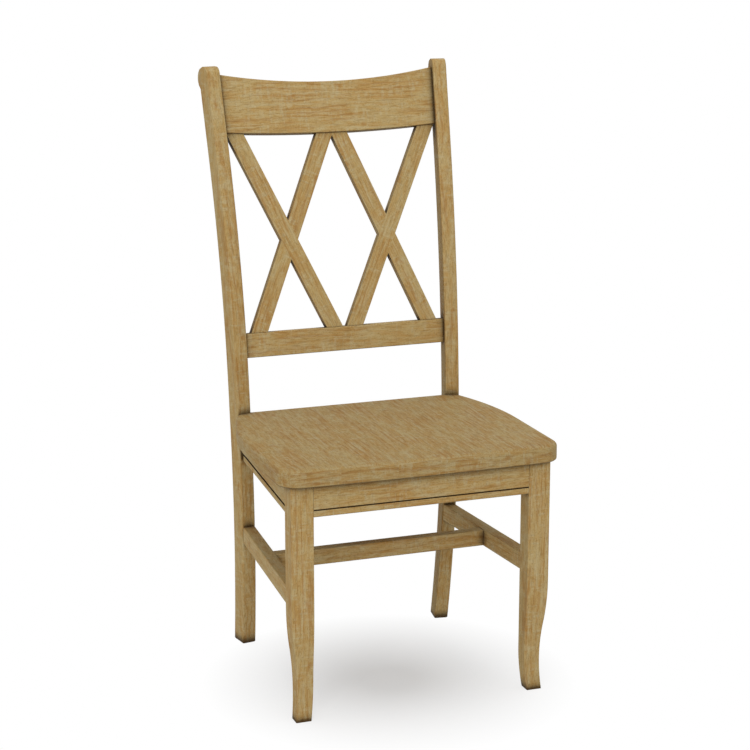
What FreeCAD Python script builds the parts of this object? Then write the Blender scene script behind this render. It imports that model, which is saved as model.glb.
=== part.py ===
import FreeCAD, Part
import math
import os
import re
import Sketcher
from FreeCAD import Placement, Rotation, Vector

os.makedirs("parts", exist_ok=True)
doc = FreeCAD.newDocument("cross_back_chair")

# Driving sizes, in millimetres and degrees. X runs to the sitter's left hand side as seen from
# the front (to the right in a front view), Y runs back from the front legs and Z runs up.
# A post is one of the two rear legs, which run from the floor to the ear above the crest rail.
SIZES = {
    # Seat
    "seat_height": 457,
    "seat_thickness": 31,
    "seat_half_width": 257,
    "seat_front_overhang": 14,
    "seat_front_bow": 4,
    "seat_corner_radius": 38,
    "seat_side_straight_to": 195,
    "seat_side_bulge": 9,
    "seat_post_cover": 1,
    "seat_post_lap": 8,
    "seat_back_lap": 9.5,
    "seat_top_round": 8,
    "seat_bottom_round": 3,
    "seat_board_width": 103,
    # Posts
    "post_width": 26.3,
    "post_depth": 38,
    "post_toe": 9.1,
    "post_inner_x": 192.9,
    "post_front_y": 379.7,
    "post_foot_back": 21.8,
    "post_belly_height": 250,
    "post_belly_forward": 2.8,
    "post_belly_inset": 4.2,
    "post_foot_inset": 13.7,
    "post_bend_height": 700,
    "post_bend_back": 28.3,
    "post_bend_outset": 1,
    "post_straight_drop": 119,
    "post_straight_back": 86.8,
    "post_top_height": 1079,
    "post_top_rake": 15.2,
    "post_top_inset": 3.9,
    "ear_length": 41,
    "ear_round_height": 22,
    "ear_bulge": 6.5,
    "ear_front_round": 15,
    "ear_flat": 10,
    # Front legs
    "leg_width": 40.4,
    "leg_depth": 36,
    "leg_inner_x": 198.1,
    "leg_knee_height": 205,
    "leg_turn_height": 122,
    "leg_turn_side": 6.3,
    "leg_turn_front": 4.9,
    "leg_foot_side": 7.5,
    "leg_foot_front": 4.7,
    "leg_heel_height": 75,
    "leg_heel_side": 5,
    "leg_heel_back": 6,
    # Crest rail
    "crest_drop": 117.7,
    "crest_depth": 107,
    "crest_thickness": 25,
    "crest_setback": 10,
    "crest_chamfer": 1.2,
    "crest_bottom_dip": 7.3,
    "crest_top_dip": 19.1,
    # Lower back rail
    "back_rail_height": 556.7,
    "back_rail_depth": 44.5,
    "back_rail_thickness": 25,
    "back_rail_front": 15.5,
    "back_rail_rake": 8.5,
    # Crossed slats
    "slat_width": 31.8,
    "slat_thickness": 15.6,
    "slat_foot_below": 2,
    "slat_foot_back": 2,
    "slat_head_below": 5,
    "slat_head_back": 2,
    "slat_outer_top": 185.3,
    "slat_outer_bottom": 19,
    "slat_inner_top": 12.6,
    "slat_inner_bottom": 167.3,
    "slat_tenon": 10,
    # Aprons
    "apron_depth": 57,
    "apron_thickness": 16.5,
    "apron_front_setback": 1,
    "apron_side_inset": 2.6,
    "rear_apron_back": 15,
    "groove_height": 11,
    "groove_width": 2.6,
    "groove_depth": 3,
    "side_groove_height": 10.5,
    "side_groove_width": 4.2,
    "side_groove_depth": 5,
    "side_post_inset": 8.2,
    # Stretchers
    "stretcher_height": 208,
    "stretcher_depth": 32,
    "stretcher_width": 22.5,
    "stretcher_side_inset": 1.2,
    "cross_stretcher_front": 209,
    "cross_stretcher_height": 209,
    "cross_stretcher_depth": 29.5,
    "cross_stretcher_width": 20,
    # Corner blocks and screws
    "block_depth": 28,
    "block_near": 18,
    "block_far": 58,
    "block_rear_near": 21,
    "block_rear_far": 63,
    "screw_length": 44,
    "screw_shank": 4.2,
    "screw_head": 9,
    "screw_head_depth": 3,
    "screw_clearance": 0.2,
    "screw_front_side": 5,
    "screw_rear_side": 4,
    "screw_behind": 2,
    # Dowels
    "dowel_diameter": 8,
    "dowel_length": 32,
    "dowel_clearance": 0.1,
    "dowel_end_room": 1,
    # How far a rail is left long before its end is fitted to the piece it meets
    "side_rail_bite": 2,
    "cross_rail_bite": 8,
    "edge_round": 1.6,
}

# Two lengths closer than this count as the same
TOUCH = 0.01

sheet = doc.addObject("Spreadsheet::Sheet", "Sizes")
for row, (name, number) in enumerate(SIZES.items(), start=1):
    sheet.set("A%d" % row, name)
    sheet.set("B%d" % row, str(number))
    sheet.setAlias("B%d" % row, name)
doc.recompute()


def bound(text):
    """The formula with each size name pointed at the sheet."""
    def point(match):
        word = match.group(0)
        return "Sizes." + word if word in SIZES else word
    return re.sub(r"[a-z][a-z_]*", point, text)


def value(text):
    """The number that a formula of size names gives."""
    result = sheet.evalExpression(bound(text).replace("Sizes.", ""))
    return float(getattr(result, "Value", result))


def bind(thing, **formulas):
    """Tie properties of a document object to formulas of size names."""
    for name, text in formulas.items():
        thing.setExpression(name, bound(text))


def place(thing, x="0", y="0", z="0", about=None, turn="0"):
    """Put a sub-part at a point, turned by an angle about one axis, all from formulas."""
    if about:
        thing.Placement = Placement(Vector(), Rotation(about, value(turn)))
        thing.setExpression("Placement.Rotation.Angle", bound(turn))
    for axis, text in (("x", x), ("y", y), ("z", z)):
        thing.setExpression("Placement.Base." + axis, bound(text))
    return thing


def arc_through(start, middle, end):
    """The arc from start to end by way of middle, stored anticlockwise as a sketch needs it."""
    centre = Part.ArcOfCircle(start, middle, end).Center
    if (middle - start).cross(end - middle).z < 0:
        start, end = end, start
    first = math.atan2(start.y - centre.y, start.x - centre.x)
    last = math.atan2(end.y - centre.y, end.x - centre.x)
    if last < first:
        last += 2 * math.pi
    circle = Part.Circle(centre, Vector(0, 0, 1), (start - centre).Length)
    return Part.ArcOfCircle(circle, first, last)


def outline(body, plane_role, path):
    """A closed sketch in one of the body's own planes, every corner held by two formulas.

    path lists the corners in order as (across, up). A corner with four entries is reached by an
    arc, and its last two entries are a point that the arc passes through on the way.
    """
    sketch = body.newObject("Sketcher::SketchObject", body.Name + "_outline")
    plane = next(feature for feature in body.Origin.OriginFeatures if feature.Role == plane_role)
    sketch.AttachmentSupport = (plane, "")
    sketch.MapMode = "FlatFace"
    corners = [Vector(value(corner[0]), value(corner[1]), 0) for corner in path]
    edges = []
    for index, corner in enumerate(path):
        start = corners[index - 1]
        end = corners[index]
        if len(corner) == 2:
            curve = Part.LineSegment(start, end)
        else:
            curve = arc_through(start, Vector(value(corner[2]), value(corner[3]), 0), end)
        forward = curve.StartPoint.isEqual(start, 1e-6)
        edges.append((sketch.addGeometry(curve), 1 if forward else 2, 2 if forward else 1))
    rules = []
    formulas = []

    def hold(geometry, point, across, up):
        for kind, text in (("DistanceX", across), ("DistanceY", up)):
            formulas.append((len(rules), bound(text)))
            rules.append(Sketcher.Constraint(kind, -1, 1, geometry, point, value(text)))

    for index, corner in enumerate(path):
        geometry, _, end_point = edges[index]
        after, start_point, _ = edges[(index + 1) % len(edges)]
        rules.append(Sketcher.Constraint("Coincident", geometry, end_point, after, start_point))
        hold(geometry, end_point, corner[0], corner[1])
        if len(corner) == 4:
            through = Part.Point(Vector(value(corner[2]), value(corner[3]), 0))
            dot = sketch.addGeometry(through, True)
            hold(dot, 1, corner[2], corner[3])
            rules.append(Sketcher.Constraint("PointOnObject", dot, 1, geometry))
    sketch.addConstraint(rules)
    for index, text in formulas:
        sketch.setExpression("Constraints[%d]" % index, text)
    return sketch


def padded(label, plane_role, path, length, way="both"):
    """A body padded from an outline: both ways from its plane, or one way along the axis."""
    body = doc.addObject("PartDesign::Body", label)
    pad = body.newObject("PartDesign::Pad", label + "_pad")
    pad.Profile = outline(body, plane_role, path)
    pad.Midplane = way == "both"
    pad.Reversed = way == "back"
    bind(pad, Length=length)
    doc.recompute()
    return body


def long_edges(shape, least):
    """The names of the edges at least this long."""
    return ["Edge%d" % number for number, edge in enumerate(shape.Edges, start=1) if edge.Length >= least]


def tall_edges(shape, least):
    """The names of the edges that climb at least this far."""
    return ["Edge%d" % number for number, edge in enumerate(shape.Edges, start=1)
            if edge.BoundBox.ZLength >= least]


def round_body(body, names, radius):
    """Round the named edges of a body's last feature."""
    before = body.Tip
    fillet = body.newObject("PartDesign::Fillet", "%s_round" % before.Name)
    fillet.Base = (before, names)
    bind(fillet, Radius=radius)
    doc.recompute()
    return body


def flat_edges(shape, height):
    """The names of the edges that lie level at a height."""
    return ["Edge%d" % number for number, edge in enumerate(shape.Edges, start=1)
            if max(abs(edge.BoundBox.ZMin - height), abs(edge.BoundBox.ZMax - height)) < TOUCH]


def round_solid(label, source, rounds):
    """Round edges of a finished solid: the names of the edges under each radius."""
    fillet = doc.addObject("Part::Fillet", label)
    fillet.Base = source
    fillet.Edges = [(int(name[4:]), value(radius), value(radius))
                    for radius, names in rounds.items() for name in names]
    doc.recompute()
    return fillet


def chamfer_solid(label, source, names, size):
    """Chamfer the named edges of a finished solid."""
    chamfer = doc.addObject("Part::Chamfer", label)
    chamfer.Base = source
    chamfer.Edges = [(int(name[4:]), value(size), value(size)) for name in names]
    doc.recompute()
    return chamfer


def together(label, members):
    """Several objects held as one group."""
    group = doc.addObject("Part::Compound", label)
    group.Links = members
    return group


def cut(label, base, tools):
    """The base with every tool taken out of it."""
    result = doc.addObject("Part::Cut", label)
    result.Base = base
    result.Tool = tools[0] if len(tools) == 1 else together(label + "_tools", tools)
    doc.recompute()
    return result


def shared(label, one, other):
    """The space that two objects have in common."""
    result = doc.addObject("Part::Common", label)
    result.Base = one
    result.Tool = other
    doc.recompute()
    return result


def mirrored(label, source):
    """The left hand twin of a right hand piece."""
    result = doc.addObject("Part::Mirroring", label)
    result.Source = source
    result.Normal = Vector(1, 0, 0)
    doc.recompute()
    return result


# Levels: the underside of the seat, the foot of the aprons, the foot of the crest rail's ends, the
# start of the posts' straight upper run, and the foot and climb of what shows of the slats.
SEAT_UNDERSIDE = "(seat_height - seat_thickness)"
APRON_FOOT = "(seat_height - seat_thickness - apron_depth)"
CREST_FOOT = "(post_top_height - crest_drop)"
STRAIGHT = "(post_top_height - post_straight_drop)"
SLAT_FOOT = "(back_rail_height + back_rail_depth * cos(back_rail_rake) - slat_foot_below)"
SLAT_CLIMB = "(%s - slat_head_below - %s)" % (CREST_FOOT, SLAT_FOOT)

# Where a post's front corner runs, seen from the side: back from its place at seat height, and up.
EAR_FOOT = "(post_top_height - ear_length)"
EAR_MIDDLE = "(post_top_height - ear_round_height)"
EAR_FRONT = "(post_top_height - ear_front_round)"


def rake_line(height):
    """How far back the straight upper run of a post's front edge lies at a height."""
    return "(post_straight_back + (%s - %s) * tan(post_top_rake))" % (height, STRAIGHT)


# How far back the crest rail's front face stands at its foot and the slats' front face stands at
# theirs, how far the slats lean from one to the other, and how long that makes them.
CREST_FRONT = "(post_front_y + " + rake_line(CREST_FOOT) + " * cos(post_toe) + crest_setback)"
SLAT_FRONT = "(post_front_y + back_rail_front + back_rail_depth * sin(back_rail_rake) + slat_foot_back)"
SLAT_LEAN = "(%s + slat_head_back - %s)" % (CREST_FRONT, SLAT_FRONT)
SLAT_RAKE = "atan(%s / %s)" % (SLAT_LEAN, SLAT_CLIMB)
SLAT_RISE = "(%s / cos(%s))" % (SLAT_CLIMB, SLAT_RAKE)

# The outer faces of the legs and posts, and how far the side rails draw in from one to the other
LEG_OUTER = "(leg_inner_x + leg_width)"
POST_OUTER = "(post_inner_x + post_width * cos(post_toe))"
DRAW_IN = "(%s - apron_side_inset - %s + side_post_inset)" % (LEG_OUTER, POST_OUTER)
SIDE_RUN = "(post_front_y - leg_depth)"
SPLAY = "atan(%s / %s)" % (DRAW_IN, SIDE_RUN)


def make_post():
    """A rear leg from floor to ear, sawn once to its side curve and once to its front curve."""
    flat_front = rake_line(EAR_FRONT) + " + ear_front_round * 0.9"
    flat_back = flat_front + " + ear_flat"
    side = padded("post_side_sawing", "YZ_Plane", [
        ("post_foot_back", "0", "-post_belly_forward", "post_belly_height"),
        ("post_foot_back + post_depth", "0"),
        ("post_depth", "seat_height", "post_depth - post_belly_forward", "post_belly_height"),
        ("post_depth + post_straight_back", STRAIGHT,
         "post_depth + post_bend_back", "post_bend_height"),
        ("post_depth + " + rake_line(EAR_FOOT), EAR_FOOT),
        (flat_back, "post_top_height",
         "post_depth + ear_bulge + " + rake_line(EAR_MIDDLE), EAR_MIDDLE),
        (flat_front, "post_top_height"),
        (rake_line(EAR_FRONT), EAR_FRONT,
         rake_line(EAR_FRONT) + " + ear_front_round * 0.28", EAR_FRONT + " + ear_front_round * 0.7"),
        ("post_straight_back", STRAIGHT),
        ("0", "seat_height", "post_bend_back", "post_bend_height"),
    ], "4 * post_width")
    front = padded("post_front_sawing", "XZ_Plane", [
        ("-post_foot_inset", "0", "-post_belly_inset", "post_belly_height"),
        ("post_width - post_foot_inset", "0"),
        ("post_width", "seat_height", "post_width - post_belly_inset", "post_belly_height"),
        ("post_width - post_top_inset", "post_top_height",
         "post_width - post_top_inset / 2 + post_bend_outset", "(seat_height + post_top_height) / 2"),
        ("-post_top_inset", "post_top_height"),
        ("0", "seat_height",
         "-post_top_inset / 2 + post_bend_outset", "(seat_height + post_top_height) / 2"),
    ], "2 * post_top_height")
    for sawing in (side, front):
        place(sawing, "post_inner_x", "post_front_y", "0", Vector(0, 0, 1), "-post_toe")
    return shared("post_blank", side, front)


def make_front_leg():
    """A front leg with a knee and a turned-out foot, sawn to the same curve on two faces."""
    side = padded("leg_side_sawing", "YZ_Plane", [
        ("leg_foot_front", "0", "leg_turn_front + leg_turn_front * 0.75", "leg_turn_height / 2"),
        ("leg_depth - leg_heel_back", "0"),
        ("leg_depth", "leg_heel_height", "leg_depth - leg_heel_back / 4", "leg_heel_height / 2"),
        ("leg_depth", SEAT_UNDERSIDE),
        ("0", SEAT_UNDERSIDE),
        ("0", "leg_knee_height"),
        ("leg_turn_front", "leg_turn_height",
         "leg_turn_front / 4", "(leg_knee_height + leg_turn_height) / 2"),
    ], "3 * leg_inner_x")
    front = padded("leg_front_sawing", "XZ_Plane", [
        ("leg_inner_x + leg_heel_side", "0",
         "leg_inner_x + leg_heel_side / 4", "leg_heel_height / 2"),
        (LEG_OUTER + " - leg_foot_side", "0"),
        (LEG_OUTER + " - leg_turn_side", "leg_turn_height",
         LEG_OUTER + " - leg_turn_side * 1.7", "leg_turn_height / 2"),
        (LEG_OUTER, "leg_knee_height",
         LEG_OUTER + " - leg_turn_side / 4", "(leg_knee_height + leg_turn_height) / 2"),
        (LEG_OUTER, SEAT_UNDERSIDE),
        ("leg_inner_x", SEAT_UNDERSIDE),
        ("leg_inner_x", "leg_heel_height"),
    ], "4 * leg_depth")
    return shared("leg_sawn", side, front)


def make_seat_blank():
    """The glued-up seat before it is notched round the posts, with its edges rounded."""
    back = "post_front_y + seat_back_lap"
    post_outer = POST_OUTER + " - seat_post_cover"
    post_line = "post_front_y - post_width * sin(post_toe) + seat_post_lap"
    side_middle = "(seat_side_straight_to + %s) / 2" % post_line
    bulge = "(seat_half_width + %s) / 2 + seat_side_bulge" % post_outer
    corner_centre = "seat_half_width - seat_corner_radius"
    diagonal = "seat_corner_radius * sin(45)"
    corner_rear = "seat_corner_radius - seat_front_overhang"
    right = [
        ("post_inner_x + post_width / 2", back),
        (post_outer, post_line),
        ("seat_half_width", "seat_side_straight_to", bulge, side_middle),
        ("seat_half_width", corner_rear),
        (corner_centre, "-seat_front_overhang",
         corner_centre + " + " + diagonal, corner_rear + " - " + diagonal),
    ]
    left = [
        ("-(seat_half_width)", corner_rear,
         "-(" + corner_centre + " + " + diagonal + ")", corner_rear + " - " + diagonal),
        ("-(seat_half_width)", "seat_side_straight_to"),
        ("-(" + post_outer + ")", post_line, "-(" + bulge + ")", side_middle),
        ("-(post_inner_x + post_width / 2)", back),
    ]
    front = ("-(" + corner_centre + ")", "-seat_front_overhang",
             "0", "-seat_front_overhang - seat_front_bow")
    body = padded("seat_glued_up", "XY_Plane", right + [front] + left, "seat_thickness", "forward")
    place(body, z=SEAT_UNDERSIDE)
    doc.recompute()
    return round_solid("seat_blank", body, {
        "seat_top_round": flat_edges(body.Shape, value("seat_height")),
        "seat_bottom_round": flat_edges(body.Shape, value(SEAT_UNDERSIDE)),
    })


def rail_section(thickness, depth, groove):
    """A rail's section, outer face at zero. groove names a shadow groove's sizes, or is empty."""
    if not groove:
        return [("0", "0"), (thickness, "0"), (thickness, depth), ("0", depth)]
    foot = groove + "_height"
    head = "%s_height + %s_width" % (groove, groove)
    bottom = groove + "_depth"
    return [
        ("0", "0"), (thickness, "0"), (thickness, depth), ("0", depth),
        ("0", head), (bottom, head), (bottom, foot), ("0", foot),
    ]


def corner_edges(shape, length, groove):
    """The names of a rail blank's long edges, without those of its shadow groove."""
    names = []
    for name in long_edges(shape, value(length) - TOUCH):
        box = shape.getElement(name).BoundBox
        if not groove or box.ZMin < value(groove + "_height") - TOUCH \
                or box.ZMax > value("%s_height + %s_width" % (groove, groove)) + TOUCH:
            names.append(name)
    return names


def make_cross_rail(label, thickness, depth, length, groove=""):
    """A straight rail that runs from side to side, its outer face to the front."""
    body = padded(label, "YZ_Plane", rail_section(thickness, depth, groove), length)
    return round_body(body, corner_edges(body.Tip.Shape, length, groove), "edge_round")


def make_side_rail(label, outer_x, base, thickness, depth, groove=""):
    """A splayed rail between a front leg and a post, its outer face to the right."""
    reach = "(%s + 2 * side_rail_bite) / cos(%s)" % (SIDE_RUN, SPLAY)
    section = [("-" + across if across != "0" else across, up)
               for across, up in rail_section(thickness, depth, groove)]
    body = padded(label, "XZ_Plane", section, reach, "back")
    round_body(body, corner_edges(body.Tip.Shape, reach, groove), "edge_round")
    return place(body, "%s + side_rail_bite * tan(%s)" % (outer_x, SPLAY), "leg_depth - side_rail_bite",
                 base, Vector(0, 0, 1), SPLAY)


def make_crest():
    """The crest rail: a straight plank with a dipped top and bottom edge.

    Its ends run into the posts, past the points that its dips are measured to, so each dip
    grows there as the square of the reach.
    """
    end = "(post_inner_x + post_width)"
    growth = "pow(%s / (post_inner_x + post_width / 2); 2)" % end
    foot = "crest_bottom_dip * %s - crest_bottom_dip" % growth
    head = "crest_depth - crest_top_dip + crest_top_dip * %s" % growth
    body = padded("crest_sawn", "XZ_Plane", [
        (end, foot, "0", "-crest_bottom_dip"),
        (end, head),
        ("-" + end, head, "0", "crest_depth - crest_top_dip"),
        ("-" + end, foot),
    ], "crest_thickness", "back")
    return lean_with_crest(body)


def lean_with_crest(thing):
    """Lay something in the crest rail's leaning frame, from the foot of its ends."""
    return place(thing, "0", CREST_FRONT, CREST_FOOT, Vector(1, 0, 0), "-post_top_rake")


def lean_with_back_rail(thing):
    """Lay something in the lower back rail's leaning frame."""
    return place(thing, "0", "post_front_y + back_rail_front", "back_rail_height",
                 Vector(1, 0, 0), "-back_rail_rake")


def lean_with_slats(thing):
    """Lay something in the plane that the crossed slats share."""
    return place(thing, "0", SLAT_FRONT, SLAT_FOOT, Vector(1, 0, 0), "-" + SLAT_RAKE)


def slat_middle(bottom, top, height):
    """Where a slat's middle line lies across at a height up the leaning plane."""
    return "(%s + (%s - %s) * (%s) / %s)" % (bottom, top, bottom, height, SLAT_RISE)


def make_slat(label, bottom, top):
    """A straight slat with a tenon at each end, square to the leaning plane."""
    low = "-slat_tenon"
    high = SLAT_RISE + " + slat_tenon"
    corners = [(slat_middle(bottom, top, height) + side, height)
               for height, side in ((low, " - slat_width / 2"), (low, " + slat_width / 2"),
                                    (high, " + slat_width / 2"), (high, " - slat_width / 2"))]
    body = padded(label, "XZ_Plane", corners, "slat_thickness", "back")
    return lean_with_slats(body)


def make_box(label, length, width, height, x="0", y="0", z="0"):
    """A plain box from formulas, its lowest corner at the point given."""
    box = doc.addObject("Part::Box", label)
    bind(box, Length=length, Width=width, Height=height)
    place(box, x, y, z)
    return box


def make_block(label, corners):
    """A corner block, padded down from the underside of the seat."""
    body = padded(label, "XY_Plane", corners, "block_depth", "forward")
    return place(body, z=SEAT_UNDERSIDE + " - block_depth")


def make_pegs(label, spots, diameter, length, axis):
    """A row of round pegs, each centred on its spot, along the X or the Y axis."""
    pegs = []
    for number, (x, y, z) in enumerate(spots, start=1):
        peg = doc.addObject("Part::Cylinder", "%s_%d" % (label, number))
        bind(peg, Radius="(%s) / 2" % diameter, Height=length)
        half = "(%s) / 2" % length
        if axis == "x":
            place(peg, x + " - " + half, y, z, Vector(0, 1, 0), "90")
        else:
            place(peg, x, y + " - " + half, z, Vector(1, 0, 0), "-90")
        pegs.append(peg)
    return together(label, pegs)


def make_dowels(label, spots, axis, frame=None):
    """The dowels of one joint and the holes that take them, laid in the joint's own frame."""
    dowels = make_pegs(label + "_dowel", spots, "dowel_diameter", "dowel_length", axis)
    holes = make_pegs(label + "_hole", spots, "dowel_diameter + 2 * dowel_clearance",
                      "dowel_length + 2 * dowel_end_room", axis)
    if frame:
        frame(dowels)
        frame(holes)
    doc.recompute()
    return dowels, holes


def both_sides(label, right):
    """A right hand group together with its left hand twin."""
    return together(label, [right, mirrored(label + "_left_side", right)])


nodes = []


def node(label, thing):
    """Give a finished sub-part the name that its file takes."""
    thing.Label = label
    nodes.append(thing)
    return thing


# Blanks: every piece before its joints are cut
post_blank = make_post()
post_blank_left = mirrored("post_blank_left", post_blank)
posts = together("posts", [post_blank, post_blank_left])
leg_sawn = make_front_leg()
leg_corners = tall_edges(leg_sawn.Shape, value("leg_heel_height / 4"))
leg_blank = round_solid("leg_blank", leg_sawn, {"edge_round": leg_corners})
leg_blank_left = mirrored("leg_blank_left", leg_blank)

front_apron_blank = make_cross_rail("front_apron_blank", "apron_thickness", "apron_depth",
                                    "2 * leg_inner_x", "groove")
place(front_apron_blank, y="apron_front_setback", z=APRON_FOOT)
rear_apron_blank = make_cross_rail("rear_apron_blank", "apron_thickness", "apron_depth",
                                   "2 * (post_inner_x + cross_rail_bite)")
place(rear_apron_blank, y="post_front_y + rear_apron_back", z=APRON_FOOT)
side_apron_blank = make_side_rail("side_apron_blank", LEG_OUTER + " - apron_side_inset", APRON_FOOT,
                                  "apron_thickness", "apron_depth", "side_groove")
side_stretcher_blank = make_side_rail("side_stretcher_blank", LEG_OUTER + " - stretcher_side_inset",
                                      "stretcher_height", "stretcher_width", "stretcher_depth")
side_apron_ends = cut("side_apron_fitted", side_apron_blank, [leg_blank, post_blank])
side_stretcher_ends = cut("side_stretcher_fitted", side_stretcher_blank, [leg_blank, post_blank])
cross_middle = "(cross_stretcher_front + cross_stretcher_width / 2)"
stretcher_inner = "(%s - stretcher_side_inset - stretcher_width / cos(%s) - (%s - leg_depth) * tan(%s))" % (
    LEG_OUTER, SPLAY, cross_middle, SPLAY)
cross_stretcher_blank = make_cross_rail("cross_stretcher_blank", "cross_stretcher_width",
                                        "cross_stretcher_depth",
                                        "2 * (%s + cross_rail_bite)" % stretcher_inner)
place(cross_stretcher_blank, y="cross_stretcher_front", z="cross_stretcher_height")

back_rail_blank = make_cross_rail("back_rail_blank", "back_rail_thickness", "back_rail_depth",
                                  "2 * (post_inner_x + cross_rail_bite)")
lean_with_back_rail(back_rail_blank)
crest_sawn = make_crest()
crest_corners = long_edges(crest_sawn.Shape, value("post_inner_x"))
crest_blank = chamfer_solid("crest_blank", crest_sawn, crest_corners, "crest_chamfer")

# Slats of the right hand cross, mitred against the left hand cross at the middle of the back and
# halved into each other where they meet
right_half = make_box("right_half", "2 * seat_half_width", "2 * post_front_y", "post_top_height")
outer_slat_mitred = shared("outer_slat_mitred", make_slat("outer_slat_blank", "slat_outer_bottom",
                                                          "slat_outer_top"), right_half)
inner_slat_mitred = shared("inner_slat_mitred", make_slat("inner_slat_blank", "slat_inner_bottom",
                                                          "slat_inner_top"), right_half)
crossing = shared("crossing", outer_slat_mitred, inner_slat_mitred)
front_layer = padded("front_layer", "XZ_Plane", [
    ("0", "0"), ("seat_half_width", "0"), ("seat_half_width", SLAT_RISE), ("0", SLAT_RISE),
], "slat_thickness / 2", "back")
lean_with_slats(front_layer)
front_lap = shared("front_lap", crossing, front_layer)
back_lap = cut("back_lap", crossing, [front_layer])

# Dowels
def side_frame(outer_x):
    """The splayed frame of a side rail, from the back face of the front leg."""
    def lay(thing):
        return place(thing, outer_x, "leg_depth", "0", Vector(0, 0, 1), SPLAY)
    return lay


# How far up a joint its two dowels sit: clear of the groove in an apron, and below the slats'
# tenons in the lower back rail.
PEG_SHARES = (0.28, 0.72)
APRON_PEG_SHARES = (0.34, 0.72)
BACK_RAIL_PEG_SHARES = (0.2, 0.58)
APRON_PEGS = [APRON_FOOT + " + apron_depth * %s" % share for share in APRON_PEG_SHARES]
STRETCHER_PEGS = ["stretcher_height + stretcher_depth * %s" % share for share in PEG_SHARES]
post_x_at_seat = "post_inner_x + post_depth / 2 * sin(post_toe)"
post_x_at_crest = "post_inner_x + (post_straight_back + post_depth / 2) * sin(post_toe) - post_top_inset"
post_end = "((post_front_y - post_belly_forward - leg_depth) / cos(%s))" % SPLAY

crest_dowels, crest_holes = make_dowels(
    "crest", [(post_x_at_crest, "crest_thickness / 2", "crest_depth * %s" % share)
              for share in PEG_SHARES], "x", lean_with_crest)
back_rail_dowels, back_rail_holes = make_dowels(
    "back_rail", [(post_x_at_seat, "back_rail_thickness / 2", "back_rail_depth * %s" % share)
                  for share in BACK_RAIL_PEG_SHARES], "x", lean_with_back_rail)
rear_apron_dowels, rear_apron_holes = make_dowels(
    "rear_apron", [(post_x_at_seat, "post_front_y + rear_apron_back + apron_thickness / 2", level)
                   for level in APRON_PEGS], "x")
front_apron_dowels, front_apron_holes = make_dowels(
    "front_apron", [("leg_inner_x", "apron_front_setback + apron_thickness / 2", level)
                    for level in APRON_PEGS], "x")
side_apron_dowels, side_apron_holes = make_dowels(
    "side_apron", [("-apron_thickness / 2", end, level) for end in ("0", post_end)
                   for level in APRON_PEGS],
    "y", side_frame(LEG_OUTER + " - apron_side_inset"))
side_stretcher_dowels, side_stretcher_holes = make_dowels(
    "side_stretcher", [("-stretcher_width / 2", end, level) for end in ("0", post_end)
                       for level in STRETCHER_PEGS],
    "y", side_frame(LEG_OUTER + " - stretcher_side_inset"))
cross_stretcher_dowels, cross_stretcher_holes = make_dowels(
    "cross_stretcher", [(stretcher_inner, cross_middle,
                         "cross_stretcher_height + cross_stretcher_depth * %s" % share)
                        for share in PEG_SHARES], "x")

# Corner blocks and the screws that hold the seat down through them
apron_back = "apron_front_setback + apron_thickness"
rear_apron_face = "post_front_y + rear_apron_back"


def side_inner(y):
    """Where the inner face of the right side apron lies across, at a depth."""
    return "(%s - apron_side_inset - apron_thickness / cos(%s) - (%s - leg_depth) * tan(%s))" % (
        LEG_OUTER, SPLAY, y, SPLAY)


front_far_y = apron_back + " + block_near + block_far"
front_near_y = "leg_depth + block_near"
rear_near_y = "post_front_y - post_belly_forward - block_rear_near"
rear_far_y = "post_front_y - post_belly_forward - block_rear_far"
front_block_blank = make_block("front_block_blank", [
    ("leg_inner_x - block_far", apron_back),
    ("leg_inner_x - block_near", apron_back),
    (side_inner(front_near_y), front_near_y),
    (side_inner(front_far_y), front_far_y),
])
rear_block_blank = make_block("rear_block_blank", [
    ("post_inner_x - block_rear_far", rear_apron_face),
    ("post_inner_x - block_rear_near", rear_apron_face),
    (side_inner(rear_near_y), rear_near_y),
    (side_inner(rear_far_y), rear_far_y),
])
SCREW_SPOTS = [
    ("leg_inner_x - block_near + screw_front_side", "leg_depth + block_near + screw_behind"),
    ("post_inner_x - block_rear_near - screw_rear_side", "post_front_y - block_rear_near - screw_behind"),
]


def make_screws(label, wider):
    """The right hand pair of seat screws, or the holes for them when made a little wider."""
    pieces = []
    for number, (x, y) in enumerate(SCREW_SPOTS, start=1):
        shank = doc.addObject("Part::Cylinder", "%s_shank_%d" % (label, number))
        bind(shank, Radius="screw_shank / 2 + " + wider, Height="screw_length + " + wider)
        place(shank, x, y, SEAT_UNDERSIDE + " - block_depth")
        if wider == "0":
            head = doc.addObject("Part::Cylinder", "%s_head_%d" % (label, number))
            bind(head, Radius="screw_head / 2", Height="screw_head_depth")
            place(head, x, y, SEAT_UNDERSIDE + " - block_depth - screw_head_depth")
            screw = doc.addObject("Part::Fuse", "%s_%d" % (label, number))
            screw.Base = shank
            screw.Tool = head
            pieces.append(screw)
        else:
            pieces.append(shank)
    group = together(label, pieces)
    doc.recompute()
    return group


screws = make_screws("screw", "0")
screw_holes = make_screws("screw_hole", "screw_clearance")

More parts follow.
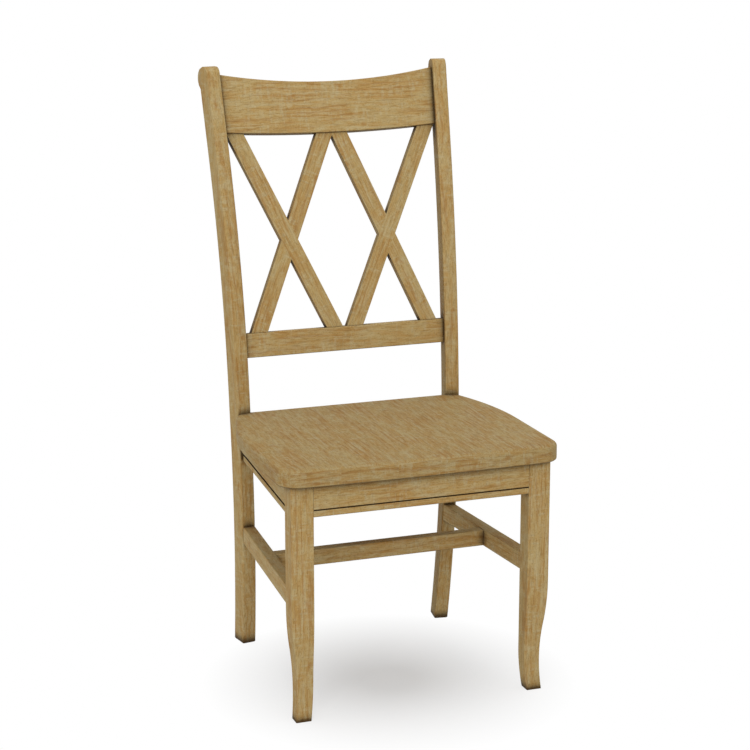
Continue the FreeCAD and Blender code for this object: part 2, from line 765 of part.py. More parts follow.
# Finished sub-parts: right hand pieces first, then their twins
rear_leg_right = node("rear_leg_right", cut("rear_leg_right", post_blank, [
    crest_holes, back_rail_holes, rear_apron_holes, side_apron_holes, side_stretcher_holes]))
front_leg_right = node("front_leg_right", cut("front_leg_right", leg_blank, [
    front_apron_holes, side_apron_holes, side_stretcher_holes]))
side_apron_right = node("side_apron_right", cut("side_apron_right", side_apron_ends, [side_apron_holes]))
side_stretcher_right = node("side_stretcher_right", cut("side_stretcher_right", side_stretcher_ends, [
    side_stretcher_holes, cross_stretcher_holes]))
outer_slat_fitted = cut("outer_slat_fitted", outer_slat_mitred, [post_blank])
outer_slat_right = node("outer_slat_right", cut("outer_slat_right", outer_slat_fitted, [back_lap]))
inner_slat_right = node("inner_slat_right", cut("inner_slat_right", inner_slat_mitred, [front_lap]))
front_block_right = node("front_corner_block_right", cut("front_corner_block_right",
                                                         front_block_blank, [screw_holes]))
rear_block_right = node("rear_corner_block_right", cut("rear_corner_block_right",
                                                       rear_block_blank, [screw_holes]))
twins = []
for piece in list(nodes):
    label = piece.Label.replace("_right", "_left")
    twin = mirrored(label, piece)
    twin.Label = label
    twins.append(twin)

# Middle pieces that meet both sides
slats = [outer_slat_fitted, inner_slat_mitred,
         mirrored("outer_slat_shadow", outer_slat_fitted), mirrored("inner_slat_shadow", inner_slat_mitred)]
crest_fitted = cut("crest_fitted", crest_blank, [posts])
crest_housed = cut("crest_housed", crest_fitted, slats)
node("crest_rail", cut("crest_rail", crest_housed, [both_sides("crest_hole_pairs", crest_holes)]))
back_rail_fitted = cut("back_rail_fitted", back_rail_blank, [posts])
back_rail_housed = cut("back_rail_housed", back_rail_fitted, slats)
node("lower_back_rail", cut("lower_back_rail", back_rail_housed,
                            [both_sides("back_rail_hole_pairs", back_rail_holes)]))
node("front_apron", cut("front_apron", front_apron_blank,
                        [both_sides("front_apron_hole_pairs", front_apron_holes)]))
rear_apron_fitted = cut("rear_apron_fitted", rear_apron_blank, [posts])
node("rear_apron", cut("rear_apron", rear_apron_fitted,
                       [both_sides("rear_apron_hole_pairs", rear_apron_holes)]))
stretchers = both_sides("side_stretchers", side_stretcher_ends)
cross_stretcher_fitted = cut("cross_stretcher_fitted", cross_stretcher_blank, [stretchers])
node("cross_stretcher", cut("cross_stretcher", cross_stretcher_fitted,
                            [both_sides("cross_stretcher_hole_pairs", cross_stretcher_holes)]))

# Seat, notched round the posts and glued up from boards that run front to back
seat_notched = cut("seat_notched", make_seat_blank(), [posts])
seat_drilled = cut("seat_drilled", seat_notched, [both_sides("screw_hole_pairs", screw_holes)])
BOARD_COUNT = 5
for index in range(BOARD_COUNT):
    offset = index - BOARD_COUNT / 2
    first = index == 0
    last = index == BOARD_COUNT - 1
    reach = "seat_board_width" if not (first or last) else "seat_half_width"
    start = "seat_board_width * %s" % offset
    if first:
        start = "seat_board_width * %s - seat_half_width" % (offset + 1)
    lane = make_box("board_lane_%d" % (index + 1), reach, "3 * post_front_y", "2 * seat_thickness",
                    start, "-post_front_y", "seat_height - 1.5 * seat_thickness")
    node("seat_board_%d" % (index + 1), shared("seat_board_%d" % (index + 1), seat_drilled, lane))

# Fixings, each kind as one group of separate solids
for label, group in (("crest_dowels", crest_dowels), ("back_rail_dowels", back_rail_dowels),
                     ("rear_apron_dowels", rear_apron_dowels), ("front_apron_dowels", front_apron_dowels),
                     ("side_apron_dowels", side_apron_dowels),
                     ("side_stretcher_dowels", side_stretcher_dowels),
                     ("cross_stretcher_dowels", cross_stretcher_dowels), ("seat_screws", screws)):
    node(label, both_sides(label, group))

doc.recompute()

# The origin goes to the middle of the chair's footprint, on the floor
extent = FreeCAD.BoundBox()
for piece in nodes + twins:
    extent.add(piece.Shape.optimalBoundingBox(False, False))
to_middle = Placement(Vector(0, -(extent.YMin + extent.YMax) / 2, 0), Rotation())
for piece in nodes:
    piece.Placement = to_middle.multiply(piece.Placement)
doc.recompute()

for thing in doc.Objects:
    if "Invalid" in thing.State or "Error" in thing.State:
        raise RuntimeError("%s could not be rebuilt: %s" % (thing.Label, thing.State))
for piece in nodes + twins:
    shape = piece.Shape
    if shape.isNull() or not shape.isValid():
        raise RuntimeError("%s has no valid shape" % piece.Label)
    shape.exportStep("parts/%s.step" % piece.Label)
    box = shape.optimalBoundingBox(False, False)
    print("%-26s %2d solid(s) %9.0f mm3  x %7.1f %7.1f  y %7.1f %7.1f  z %7.1f %7.1f" % (
        piece.Label, len(shape.Solids), shape.Volume,
        box.XMin, box.XMax, box.YMin, box.YMax, box.ZMin, box.ZMax))
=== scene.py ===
# %% [markdown]
# A dining chair in brushed, worn wood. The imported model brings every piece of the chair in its
# real place and size. This lesson dresses it: the two rear legs get softly rounded edges,
# every piece gets a wood finish whose grain runs along it, and a floor, a few lamps and a camera
# make the picture.

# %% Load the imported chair
import math

import bpy
import numpy as np
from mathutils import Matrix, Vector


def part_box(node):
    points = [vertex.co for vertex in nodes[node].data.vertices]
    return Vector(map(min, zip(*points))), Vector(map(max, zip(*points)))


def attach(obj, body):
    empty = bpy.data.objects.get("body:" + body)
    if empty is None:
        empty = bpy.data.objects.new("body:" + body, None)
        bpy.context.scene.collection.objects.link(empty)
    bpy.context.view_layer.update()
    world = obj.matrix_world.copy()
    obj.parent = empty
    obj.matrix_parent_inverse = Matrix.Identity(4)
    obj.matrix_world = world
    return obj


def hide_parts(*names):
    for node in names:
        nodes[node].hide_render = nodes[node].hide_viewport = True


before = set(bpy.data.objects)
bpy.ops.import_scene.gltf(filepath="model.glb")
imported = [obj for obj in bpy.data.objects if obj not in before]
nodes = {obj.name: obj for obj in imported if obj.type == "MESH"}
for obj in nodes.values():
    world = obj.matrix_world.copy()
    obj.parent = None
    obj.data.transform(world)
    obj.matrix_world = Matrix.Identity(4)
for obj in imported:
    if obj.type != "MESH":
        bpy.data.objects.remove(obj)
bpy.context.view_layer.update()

print("pieces in the model:", len(nodes))

# %% [markdown]
# The camera comes first, so that every later step can be looked at from the same place. A long
# lens from almost four metres away keeps the legs nearly parallel. It looks a little down on the
# chair, and stands to the left of its middle, so that the left side shows.

# %% Put up the camera
# The lens and its sensor are in millimetres, places in metres and turns in degrees
LENS = 102.55
SENSOR_WIDTH = 36
CAMERA_PLACE = (-1.2816, -3.5253, 1.4663)
CAMERA_LOOKS_DOWN = 13.868
CAMERA_TURN = 20.065

camera = bpy.data.objects.new("camera", bpy.data.cameras.new("camera"))
bpy.context.scene.collection.objects.link(camera)
camera.data.lens = LENS
camera.data.sensor_width = SENSOR_WIDTH
camera.location = CAMERA_PLACE
camera.rotation_euler = (math.radians(90 - CAMERA_LOOKS_DOWN), 0, -math.radians(CAMERA_TURN))
bpy.context.scene.camera = camera
bpy.context.scene.view_settings.view_transform = "Standard"
print("camera at", CAMERA_PLACE)

# %% [markdown]
# A material is a graph of nodes, and its sums read badly as boxes and wires. So one small class
# wraps the output of a node, and a plus or a times between two of them adds the Math node. Every
# other node comes from one method that takes the node's type, its settings and its inputs.

# %% A small language for shader sums
class Socket:
    """The output of a node, on which + - and * add Math nodes."""

    def __init__(self, graph, output):
        self.graph = graph
        self.output = output

    def combine(self, operation, first, second):
        return self.graph.node("ShaderNodeMath", {"operation": operation}, {0: first, 1: second})

    def __add__(self, other):
        return self.combine("ADD", self, other)

    def __radd__(self, other):
        return self.combine("ADD", other, self)

    def __sub__(self, other):
        return self.combine("SUBTRACT", self, other)

    def __rsub__(self, other):
        return self.combine("SUBTRACT", other, self)

    def __mul__(self, other):
        return self.combine("MULTIPLY", self, other)

    def __rmul__(self, other):
        return self.combine("MULTIPLY", other, self)

    def ramp(self, low, high):
        """0 below low, 1 above high, and an even climb between them."""
        settings = {"clamp": True}
        return self.graph.node("ShaderNodeMapRange", settings, {0: self, 1: low, 2: high, 3: 0, 4: 1})


class Graph:
    """The nodes of one material or of the world."""

    def __init__(self, owner):
        owner.use_nodes = True
        self.tree = owner.node_tree
        self.tree.nodes.clear()

    def node(self, kind, settings, inputs, output=0):
        """Add a node: its settings first, then a value or a link for each input, by name or number."""
        made = self.tree.nodes.new(kind)
        for name, value in settings.items():
            setattr(made, name, value)
        for name, value in inputs.items():
            if isinstance(value, Socket):
                self.tree.links.new(value.output, made.inputs[name])
            else:
                made.inputs[name].default_value = value
        return Socket(self, made.outputs[output]) if made.outputs else None

    def dot(self, point, direction):
        return self.node("ShaderNodeVectorMath", {"operation": "DOT_PRODUCT"},
                         {0: point, 1: direction}, "Value")

    def larger(self, first, second):
        return self.node("ShaderNodeMath", {"operation": "MAXIMUM"}, {0: first, 1: second})

    def blend(self, amount, first, second, how="MIX"):
        """Mix two colours: all the first at 0, all the second at 1."""
        return self.node("ShaderNodeMix", {"data_type": "RGBA", "blend_type": how, "clamp_factor": True},
                         {0: amount, 6: first, 7: second}, 2)


def paint(red, green, blue):
    """A colour as a screen shows it, 0 to 255, turned into the light that a shader works in.

    With s from 0 to 1 the light is ((s + 0.055) / 1.055)^2.4, or s / 12.92 where s is small.
    """
    screen = np.array([red, green, blue]) / 255
    light = np.where(screen <= 0.04045, screen / 12.92, ((screen + 0.055) / 1.055) ** 2.4)
    return (*light.tolist(), 1.0)


print("white in light:", paint(255, 255, 255))

# %% [markdown]
# The finish on the real chair is a pale brown stain with soft orange clouds and grey-beige streaks,
# crossed here and there by faint marks of the saw. Small orange knots and dark specks lie in it,
# and dark wax stays round the feet. The corners and the undersides are darkened by painted shade.
# Noise that is stretched along a piece makes such streaks. Each piece gets its own material,
# because its grain runs its own way and no two boards have the same figure.

# %% The brushed wood finish
STAIN = paint(186, 159, 104)
STAIN_ORANGE = paint(181, 139, 76)
STAIN_GREY = paint(194, 177, 134)
STAIN_DARK = paint(128, 96, 50)
KNOT = paint(158, 108, 46)
# Dark brown: real wax round the feet, and painted shade in corners, on undersides, on the slats' sides
# and on the rear legs' inner faces
WAX_AND_SHADE = paint(46, 27, 7)

# How strongly each layer of the finish, and of the painted shade, covers what lies under it
ORANGE_CLOUDS = 0.6
ORANGE_MOTTLE = 0.6
GREY_MOTTLE = 0.45
GREY_STREAKS = 0.6
SAW_MARKS = 0.65
RINGS = 0.48
DARK_FIBRES = 0.42
GREY_FIBRES = 0.3
KNOTS = 0.5
DARK_SPECKS = 0.5
# Corners and undersides are darkened by painted shade, the feet by real wax
CORNER_SHADE = 0.9
FOOT_WAX = 0.85
UNDERSIDE_SHADE = 0.65

# How far painted shade reaches out of a corner and wax up a foot, and how the surface shines and feels
CORNER_REACH = 0.025
FOOT_REACH = 0.006
ROUGHNESS = 0.82
STREAKS_SMOOTHER = 0.25
SHINE = 0.14
RELIEF_STRENGTH = 0.25
RELIEF_DEPTH = 0.0004

# How much longer than wide the rings are, and the squared cosine between a face's way and the
# grain's at which the face begins to count as end grain and at which it does so fully
RING_STRETCH = 1 / 0.12
END_GRAIN = (0.6, 0.65)

# How much of a piece's shift in the noise goes across the grain and through the thickness
SHIFT_ACROSS = 0.37
SHIFT_THROUGH = 0.19

UP = (0, 0, 1)
DOWN = (0, 0, -1)


def brushed_wood(name, along, across, shift, tone=1.0, shaded_ways=(), side_shade=0.0):
    """A wood finish whose grain follows the direction along, with across as the wide face's other way.

    The point on the piece is measured along the grain, across the face and through the
    thickness, and the length is squeezed before it goes into each noise, which draws it out.
    On a face that the grain runs into, the three measures change places, so that it is
    streaked too. shift is how far off in the noise the piece lies, and tone scales its colour,
    which on the seat is painted shade. Faces that look one of the listed ways get painted shade,
    as dark as the last argument says, and so do corners and faces that look down, while the foot
    gets real wax. Most of a noise lies between 0.3 and 0.7, and each ramp says between which values
    its layer comes in.
    """
    material = bpy.data.materials.new(name)
    graph = Graph(material)
    lengthwise = np.array(along, float) / np.linalg.norm(along)
    through = np.cross(lengthwise, across)
    through = through / np.linalg.norm(through)
    sideways = np.cross(through, lengthwise)
    place = graph.node("ShaderNodeTexCoord", {}, {}, "Object")
    facing = graph.node("ShaderNodeTexCoord", {}, {}, "Normal")
    ahead = graph.dot(facing, tuple(lengthwise))
    on_end = (ahead * ahead).ramp(*END_GRAIN)
    length = graph.dot(place, tuple(lengthwise)) + shift
    width = graph.dot(place, tuple(sideways)) + shift * SHIFT_ACROSS
    depth = graph.dot(place, tuple(through)) + shift * SHIFT_THROUGH
    far = length + on_end * (width - length)
    wide = width + on_end * (depth - width)
    deep = depth + on_end * (length - depth)

    def drawn_out(stretch):
        """The point on the piece with its length squeezed, so that what is on it comes out longer."""
        return graph.node("ShaderNodeCombineXYZ", {}, {0: wide, 1: deep, 2: far * (1 / stretch)})

    def noise(scale, stretch, detail, warp=0.0, roughness=0.6):
        return graph.node("ShaderNodeTexNoise", {}, {
            "Vector": drawn_out(stretch), "Scale": scale, "Detail": detail,
            "Roughness": roughness, "Distortion": warp})

    clouds = noise(scale=24, stretch=2.5, detail=3, warp=0.4)
    mottle = noise(scale=120, stretch=4, detail=5, warp=0.6)
    streaks = noise(scale=190, stretch=14, detail=4, warp=0.4)
    fibres = noise(scale=600, stretch=11, detail=3, warp=0.8)
    spots = noise(scale=48, stretch=1.7, detail=2)
    specks = noise(scale=520, stretch=1.4, detail=2)
    sawn = noise(scale=38, stretch=0.2, detail=3, roughness=0.5)
    rings = graph.node("ShaderNodeTexWave", {"bands_direction": "X"}, {
        "Vector": drawn_out(RING_STRETCH), "Scale": 30, "Distortion": 12,
        "Detail": 4, "Detail Scale": 1.1}, "Fac")

    layers = [
        (clouds.ramp(0.42, 0.66) * ORANGE_CLOUDS, STAIN_ORANGE),
        (mottle.ramp(0.48, 0.66) * ORANGE_MOTTLE, STAIN_ORANGE),
        ((1 - mottle).ramp(0.5, 0.66) * GREY_MOTTLE, STAIN_GREY),
        (streaks.ramp(0.54, 0.66) * GREY_STREAKS, STAIN_GREY),
        (sawn.ramp(0.5, 0.62) * spots.ramp(0.42, 0.58) * SAW_MARKS, STAIN_GREY),
        (rings.ramp(0.6, 0.95) * clouds.ramp(0.38, 0.6) * RINGS, KNOT),
        (fibres.ramp(0.5, 0.66) * DARK_FIBRES, STAIN_DARK),
        ((1 - fibres).ramp(0.52, 0.66) * GREY_FIBRES, STAIN_GREY),
        (spots.ramp(0.64, 0.74) * KNOTS, KNOT),
        (specks.ramp(0.54, 0.72) * DARK_SPECKS, STAIN_DARK),
    ]
    colour = STAIN
    for cover, tint in layers:
        colour = graph.blend(cover, colour, tint)

    # Painted shade: ambient occlusion darkens corners and joints, and faces that look down or one of the
    # listed ways are darkened too. Only the darkening round the foot is real wax.
    corner = graph.node("ShaderNodeAmbientOcclusion", {"samples": 8}, {"Distance": CORNER_REACH}, "AO")
    height = graph.dot(place, UP)
    foot = (FOOT_REACH + mottle * FOOT_REACH - height).ramp(0, FOOT_REACH)
    shade_and_wax_masks = [foot * FOOT_WAX, graph.dot(facing, DOWN).ramp(0.1, 0.6) * UNDERSIDE_SHADE]
    shade_and_wax_masks += [graph.dot(facing, way).ramp(0.6, 0.85) * side_shade for way in shaded_ways]
    painted_shade_and_wax = (1 - corner).ramp(0.1, 0.5) * CORNER_SHADE
    for other in shade_and_wax_masks:
        painted_shade_and_wax = graph.larger(painted_shade_and_wax, other)
    colour = graph.blend(painted_shade_and_wax, colour, WAX_AND_SHADE)
    # Below 1, tone darkens the whole piece as painted shade, as on the seat
    colour = graph.blend(1.0, colour, (tone, tone, tone, 1.0), "MULTIPLY")

    relief = fibres * 0.5 + streaks * 0.5
    bump = graph.node("ShaderNodeBump", {}, {
        "Strength": RELIEF_STRENGTH, "Distance": RELIEF_DEPTH, "Height": relief})
    surface = graph.node("ShaderNodeBsdfPrincipled", {}, {
        "Base Color": colour, "Roughness": ROUGHNESS - streaks * STREAKS_SMOOTHER, "Normal": bump,
        "Specular IOR Level": SHINE})
    graph.node("ShaderNodeOutputMaterial", {}, {"Surface": surface})
    return material


def dress(piece, material):
    """Give a piece one finish all over."""
    piece.data.materials.clear()
    piece.data.materials.append(material)


# %% [markdown]
# The rear legs are sawn from planks to a curve in the side view and another in the front view,
# and end in a small rounded ear above the crest rail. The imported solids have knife-sharp edges, so
# each leg is drawn again as a section carried up the same two curves, with its corners turned over
# a small radius.

# %% Curves and carried sections
# The points on a rounded corner, the turns at which a rounded end has its rows, how nearly its
# last row is drawn in by the whole radius, and the angle from which an edge looks sharp
CORNER_STEPS = 4
END_TURNS = np.radians([90, 60, 30])
END_DRAW = 0.98
SHARP_FROM = math.radians(50)


def arc(levels, start, middle, end):
    """The first coordinate on the circle through three (across, up) points, at each level.

    The centre solves the two chords' bisectors. Then across = centre across
    +- root(radius^2 - (up - centre up)^2).
    """
    points = np.array([start, middle, end], float)
    chords = 2 * (points[1:] - points[0])
    squares = (points[1:] ** 2).sum(1) - (points[0] ** 2).sum()
    centre = np.linalg.solve(chords, squares)
    radius = np.linalg.norm(points[0] - centre)
    side = np.sign(points[1, 0] - centre[0])
    return centre[0] + side * np.sqrt(radius ** 2 - (levels - centre[1]) ** 2)


def rounded_section(corners, radius):
    """Rows of four corners turned into rows of points round a section with rounded corners.

    At each corner the point is corner + radius (1 - sin a) towards the corner before it
    + radius (1 - cos a) towards the corner after it, for a from 0 to a right angle.
    """
    before = np.roll(corners, 1, axis=1) - corners
    after = np.roll(corners, -1, axis=1) - corners
    before = before / np.linalg.norm(before, axis=2, keepdims=True)
    after = after / np.linalg.norm(after, axis=2, keepdims=True)
    angle = np.linspace(0, math.pi / 2, CORNER_STEPS)[None, None, :, None]
    points = (corners[:, :, None] + radius * (1 - np.sin(angle)) * before[:, :, None]
              + radius * (1 - np.cos(angle)) * after[:, :, None])
    return points.reshape(len(corners), -1, 3)


def shrink(corners, distance):
    """One row of four corners drawn in by a distance from every side."""
    before = np.roll(corners, 1, axis=0) - corners
    after = np.roll(corners, -1, axis=0) - corners
    before = before / np.linalg.norm(before, axis=1, keepdims=True)
    after = after / np.linalg.norm(after, axis=1, keepdims=True)
    return corners + distance * (before + after)


def carried(name, corners, radius):
    """A solid from rows of four corners: a rounded section carried up them, rounded at its foot.

    The rounded foot has three more rows: at angle a they stand radius (1 - sin a) inside the end
    and are drawn in by radius (1 - cos a), or a little less, which END_DRAW says.
    """
    foot = corners[0]
    way = (foot - corners[1]).mean(0)
    way = way / np.linalg.norm(way)
    rows = [shrink(foot - radius * (1 - np.sin(a)) * way, radius * (1 - np.cos(a)) * END_DRAW)
            for a in END_TURNS]
    rows += [foot - radius * way, *corners[1:]]
    sections = rounded_section(np.array(rows), radius)
    count, around = sections.shape[:2]
    vertices = sections.reshape(-1, 3)
    row, column = np.meshgrid(np.arange(count - 1), np.arange(around), indexing="ij")
    following = (column + 1) % around
    sides = np.stack([row * around + column, row * around + following,
                      (row + 1) * around + following, (row + 1) * around + column], axis=-1)
    faces = sides.reshape(-1, 4).tolist()
    faces.append(list(range(around))[::-1])
    faces.append(list(range((count - 1) * around, count * around)))
    mesh = bpy.data.meshes.new(name)
    mesh.from_pydata(vertices.tolist(), [], faces)
    mesh.validate()
    mesh.shade_smooth()
    mesh.set_sharp_from_angle(angle=SHARP_FROM)
    piece = bpy.data.objects.new(name, mesh)
    bpy.context.scene.collection.objects.link(piece)
    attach(piece, "root")
    print(name, "has", len(faces), "faces")
    return piece


# %% [markdown]
# The rear leg's numbers are the ones that its solid was sawn to. Only EDGE, the radius of its
# rounded edges, is new. Levels are heights above the floor, and the leg's own frame stands at its
# inner front corner, turned out by nine degrees.

# %% Draw the rear legs
LEG_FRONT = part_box("front_leg_right")[0].y
POST_CORNER = np.array([0.1929, LEG_FRONT + 0.3797, 0.0])
POST_TOE = math.radians(9.1)
POST_WIDTH = 0.0263
POST_DEPTH = 0.038
EDGE = 0.0022

# Levels: the belly below the seat, the seat, the middle of the bend above it, the start of the
# straight upper run, and the top
BELLY_LEVEL = 0.25
SEAT_LEVEL = 0.457
BEND_LEVEL = 0.7
STRAIGHT_LEVEL = 0.960
POST_TOP = 1.079

# The side curve, measured back from the corner's place at the seat
FOOT_BACK = 0.0218
BELLY_BACK = -0.0028
BEND_BACK = 0.0283
STRAIGHT_BACK = 0.0868
RAKE = math.tan(math.radians(15.2))

# The front curve, measured in from the corner's place at the seat. The middle of its upper arc
# stands BEND_OUTSET out from half of TOP_INSET.
FOOT_INSET = 0.0137
BELLY_INSET = 0.0042
BEND_OUTSET = 0.001
TOP_INSET = 0.0039

# The ear above the crest rail: its length, how high and how far back its front round goes, the
# flat on its top, and how far its back swells out at which drop below the top
EAR_LENGTH = 0.041
EAR_ROUND = 0.015
EAR_ROUND_BACK = 0.0135
EAR_FLAT = 0.010
EAR_SWELL = 0.0117
EAR_SWELL_DROP = 0.022

# How many rows carry the leg's section up each stretch, and where the ear's first row lies: the
# angle on its front round, and the share of its length on its back
LOW_ROWS = 19
BEND_ROWS = 22
STRAIGHT_ROWS = 4
EAR_ROWS = 7
FIRST_TURN = 12
FIRST_CLIMB = 0.14


def rake_line(level):
    """How far back the straight upper run of the leg's front edge lies at a level."""
    return STRAIGHT_BACK + (level - STRAIGHT_LEVEL) * RAKE


ear_foot = POST_TOP - EAR_LENGTH
ear_front = POST_TOP - EAR_ROUND
flat_back = rake_line(ear_front) + EAR_ROUND_BACK + EAR_FLAT
ear_turn = np.radians(np.linspace(FIRST_TURN, 90, EAR_ROWS))
ear_climb = ear_foot + EAR_LENGTH * np.linspace(FIRST_CLIMB, 1, EAR_ROWS)

low = np.linspace(0, SEAT_LEVEL, LOW_ROWS)
bend = np.linspace(SEAT_LEVEL, STRAIGHT_LEVEL, BEND_ROWS)[1:]
straight = np.linspace(STRAIGHT_LEVEL, ear_foot, STRAIGHT_ROWS)[1:]
leg_level = np.concatenate([low, bend, straight])
leg_edge = np.concatenate([
    arc(low, (FOOT_BACK, 0), (BELLY_BACK, BELLY_LEVEL), (0, SEAT_LEVEL)),
    arc(bend, (0, SEAT_LEVEL), (BEND_BACK, BEND_LEVEL), (STRAIGHT_BACK, STRAIGHT_LEVEL)),
    rake_line(straight)])
front_ear = rake_line(ear_front) + EAR_ROUND_BACK * (1 - np.cos(ear_turn))
swell_from = rake_line(ear_foot) + POST_DEPTH
back_ear = arc(ear_climb, (swell_from, ear_foot),
               (swell_from + EAR_SWELL, POST_TOP - EAR_SWELL_DROP), (flat_back, POST_TOP))
front_edge = np.concatenate([leg_edge, front_ear])
front_level = np.concatenate([leg_level, ear_front + EAR_ROUND * np.sin(ear_turn)])
back_edge = np.concatenate([leg_edge + POST_DEPTH, back_ear])
back_level = np.concatenate([leg_level, ear_climb])


def inner_edge(levels):
    """How far the leg's inner face stands from its corner, at each level: two arcs, as it is sawn."""
    below = arc(np.minimum(levels, SEAT_LEVEL), (-FOOT_INSET, 0), (-BELLY_INSET, BELLY_LEVEL),
                (0, SEAT_LEVEL))
    above = arc(np.maximum(levels, SEAT_LEVEL), (0, SEAT_LEVEL),
                (BEND_OUTSET - TOP_INSET / 2, (SEAT_LEVEL + POST_TOP) / 2), (-TOP_INSET, POST_TOP))
    return np.where(levels < SEAT_LEVEL, below, above)


def post_rows(side):
    """Four corners at each level, front inner first, turned by the toe and put at the leg's place.

    The left leg's corners go the other way round, so that its faces look outwards too.
    """
    across = np.stack([inner_edge(front_level), inner_edge(front_level) + POST_WIDTH,
                       inner_edge(back_level) + POST_WIDTH, inner_edge(back_level)], axis=1)
    back = np.stack([front_edge, front_edge, back_edge, back_edge], axis=1)
    up = np.stack([front_level, front_level, back_level, back_level], axis=1)
    x = POST_CORNER[0] + across * math.cos(POST_TOE) + back * math.sin(POST_TOE)
    y = POST_CORNER[1] - across * math.sin(POST_TOE) + back * math.cos(POST_TOE)
    rows = np.stack([side * x, y, up], axis=2)
    return rows if side > 0 else rows[:, ::-1]


# How far the legs' grain leans out and back for each metre up, how far off in the noise their
# finish lies, and how much painted shade darkens their inner faces
POST_SPREAD = 0.02
POST_LEAN = 0.1
POST_SHIFT = 3.1
POST_INNER_SHADE = 0.32
SIDES = ((1, "right"), (-1, "left"))
SIDEWAYS = (1, 0, 0)

for side, word in SIDES:
    post = carried("rear_leg_%s_rounded" % word, post_rows(side), EDGE)
    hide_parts("rear_leg_%s" % word)
    grain = (POST_SPREAD * side, POST_LEAN, 1)
    dress(post, brushed_wood("rear_leg_%s_wood" % word, grain, SIDEWAYS, POST_SHIFT + side,
                             shaded_ways=[(-side, 0, 0)], side_shade=POST_INNER_SHADE))

# %% [markdown]
# Every other piece keeps its imported shape. A saw follows the grain, so the grain runs along each
# rail, leg and slat, and from front to back in the seat, whose boards are glued edge to edge. The
# seat is darkened a little by painted shade, and so are the narrow sides of the slats.

# %% Dress the imported pieces
# The side rails splay outwards to the front, and the slats lean back and out to their sides
BACKWARDS = (0, 1, 0)
SPLAY = math.tan(math.radians(4.2))
SLAT_LEAN = math.tan(math.radians(11.7))
OUTER_SLAT_SLOPE = 0.456
INNER_SLAT_SLOPE = 0.424
# How much painted shade darkens the slats' narrow sides
SLAT_SIDE_SHADE = 0.38
# The seat's colour is scaled down as painted shade
SEAT_SHADE = 0.84

# How far off in the noise the first piece's finish lies, and each further piece's from the last
FIRST_SHIFT = 0.31
NEXT_SHIFT = 1.7

# The way each piece's grain runs, and the other way of its wide face
grains = {rail: (SIDEWAYS, UP) for rail in (
    "crest_rail", "lower_back_rail", "front_apron", "rear_apron", "cross_stretcher")}
for side, word in SIDES:
    grains["front_leg_" + word] = (UP, SIDEWAYS)
    grains["side_apron_" + word] = ((-side * SPLAY, 1, 0), UP)
    grains["side_stretcher_" + word] = ((-side * SPLAY, 1, 0), UP)
    grains["outer_slat_" + word] = ((side * OUTER_SLAT_SLOPE, SLAT_LEAN, 1), SIDEWAYS)
    grains["inner_slat_" + word] = ((-side * INNER_SLAT_SLOPE, SLAT_LEAN, 1), SIDEWAYS)
    grains["front_corner_block_" + word] = ((-side, 1, 0), UP)
    grains["rear_corner_block_" + word] = ((side, 1, 0), UP)
for name in nodes:
    if name.startswith("seat_board"):
        grains[name] = (BACKWARDS, SIDEWAYS)

for number, (name, (along, across)) in enumerate(sorted(grains.items())):
    shaded_ways = [(1, 0, 0), (-1, 0, 0)] if "slat" in name else []
    tone = SEAT_SHADE if "seat" in name else 1.0
    shift = FIRST_SHIFT + NEXT_SHIFT * number
    dress(nodes[name], brushed_wood(name + "_wood", along, across, shift, tone, shaded_ways, SLAT_SIDE_SHADE))
print("dressed", len(grains), "pieces")

# %% [markdown]
# Dowels and screws are almost hidden. The dowels are plain turned beech, and the screws are zinc.

# %% Finish the fixings
ZINC = paint(188, 186, 178)
DOWEL_SHIFT = 0.5

turned = brushed_wood("dowel_beech", SIDEWAYS, UP, DOWEL_SHIFT)
zinc_screw = bpy.data.materials.new("zinc_screw")
zinc = Graph(zinc_screw)
scratches = zinc.node("ShaderNodeTexNoise", {}, {
    "Vector": zinc.node("ShaderNodeTexCoord", {}, {}, "Object"), "Scale": 900, "Detail": 3})
zinc_surface = zinc.node("ShaderNodeBsdfPrincipled", {}, {
    "Base Color": ZINC, "Metallic": 1.0, "Roughness": 0.3 + scratches * 0.25})
zinc.node("ShaderNodeOutputMaterial", {}, {"Surface": zinc_surface})
for name, piece in nodes.items():
    if name.endswith("dowels"):
        dress(piece, turned)
    if name == "seat_screws":
        dress(piece, zinc_screw)

# %% [markdown]
# A product photographer stands the chair on a white sweep and lights it softly from the front and
# above. Here floor and world are white to the camera, and to rays that a shiny or clear surface
# sends on. Close under the chair's middle the floor shows mostly the light that falls on it, so
# that the shadow stays, and further out more and more of a white of its own. To every other ray
# it is a plain pale floor.

# %% Floor, lamps and world
# How much of its own white the floor shows at the middle of the shadow, where that is, and how far
# from it that white begins to grow and is whole
SHADOW_GLOW = 0.22
SHADOW_PLACE = (-0.01, -0.12, 0)
SHADOW_FADES = (0.05, 0.34)
WHITE = (1, 1, 1, 1)
FLOOR_REACH = 30
FLOOR_PALE = 0.86
SKY_LIGHT = 0.55


def sight(graph):
    """1 for a ray from the camera, or one that a shiny or clear surface sends on, and 0 for others."""
    camera_ray = graph.node("ShaderNodeLightPath", {}, {}, "Is Camera Ray")
    glossy_ray = graph.node("ShaderNodeLightPath", {}, {}, "Is Glossy Ray")
    clear_ray = graph.node("ShaderNodeLightPath", {}, {}, "Is Transmission Ray")
    return graph.larger(camera_ray, graph.larger(glossy_ray, clear_ray))


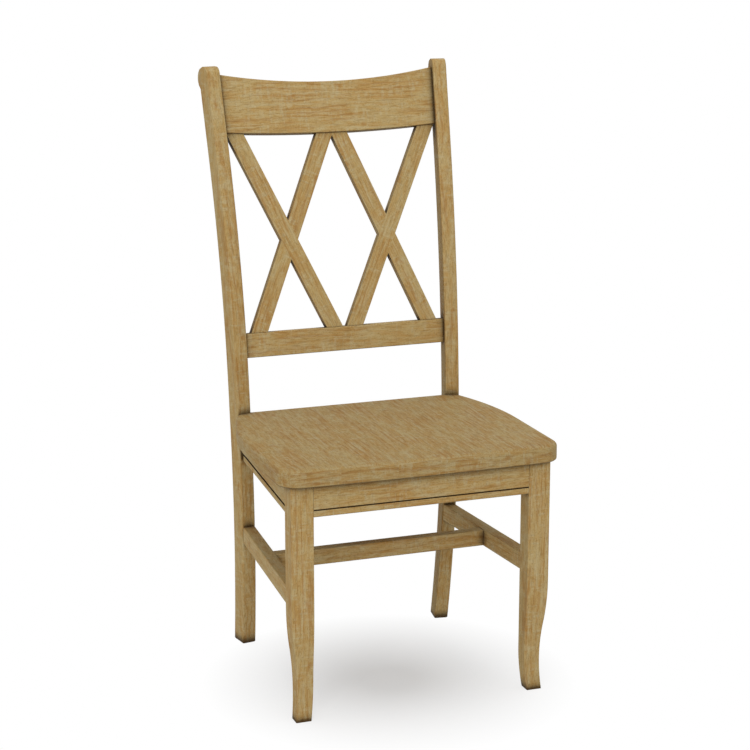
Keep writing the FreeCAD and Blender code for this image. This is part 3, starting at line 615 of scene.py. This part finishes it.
floor_mesh = bpy.data.meshes.new("floor")
floor_corners = [(x * FLOOR_REACH, y * FLOOR_REACH, 0) for x, y in ((-1, -1), (1, -1), (1, 1), (-1, 1))]
floor_mesh.from_pydata(floor_corners, [], [(0, 1, 2, 3)])
floor = bpy.data.objects.new("floor", floor_mesh)
bpy.context.scene.collection.objects.link(floor)
floor_material = bpy.data.materials.new("floor_white")
ground = Graph(floor_material)
seen = sight(ground)
spot = ground.node("ShaderNodeTexCoord", {}, {}, "Object")
away = ground.node("ShaderNodeVectorMath", {"operation": "DISTANCE"}, {0: spot, 1: SHADOW_PLACE}, "Value")
own_light = SHADOW_GLOW + away.ramp(*SHADOW_FADES) * (1 - SHADOW_GLOW)
shade = FLOOR_PALE + seen * (1 - FLOOR_PALE)
tint = ground.node("ShaderNodeCombineColor", {}, {0: shade, 1: shade, 2: shade})
plain = ground.node("ShaderNodeBsdfDiffuse", {}, {"Color": tint})
glow = ground.node("ShaderNodeEmission", {}, {"Color": WHITE, "Strength": 1.0})
mixed = ground.node("ShaderNodeMixShader", {}, {0: seen * own_light, 1: plain, 2: glow})
ground.node("ShaderNodeOutputMaterial", {}, {"Surface": mixed})
dress(floor, floor_material)

world = bpy.data.worlds.new("studio")
bpy.context.scene.world = world
sky = Graph(world)
around = sky.node("ShaderNodeBackground", {}, {"Color": WHITE, "Strength": SKY_LIGHT})
behind = sky.node("ShaderNodeBackground", {}, {"Color": WHITE, "Strength": 1.0})
sky_mix = sky.node("ShaderNodeMixShader", {}, {0: sight(sky), 1: around, 2: behind})
sky.node("ShaderNodeOutputWorld", {}, {"Surface": sky_mix})


def softbox(name, place, target, width, power):
    """A square lamp at a place, turned to face a target."""
    lamp = bpy.data.objects.new(name, bpy.data.lights.new(name, "AREA"))
    bpy.context.scene.collection.objects.link(lamp)
    lamp.data.size = width
    lamp.data.energy = power
    lamp.location = place
    facing = np.array(place) - np.array(target)
    lamp.rotation_euler = (math.atan2(math.hypot(facing[0], facing[1]), facing[2]), 0,
                           math.atan2(facing[0], -facing[1]))


softbox("front_softbox", place=(-2.1, -3.8, 2.1), target=(0, 0, 0.6), width=2.4, power=57)
softbox("top_softbox", place=(0.1, -0.1, 3.4), target=(0, 0, 0.4), width=2.2, power=24)
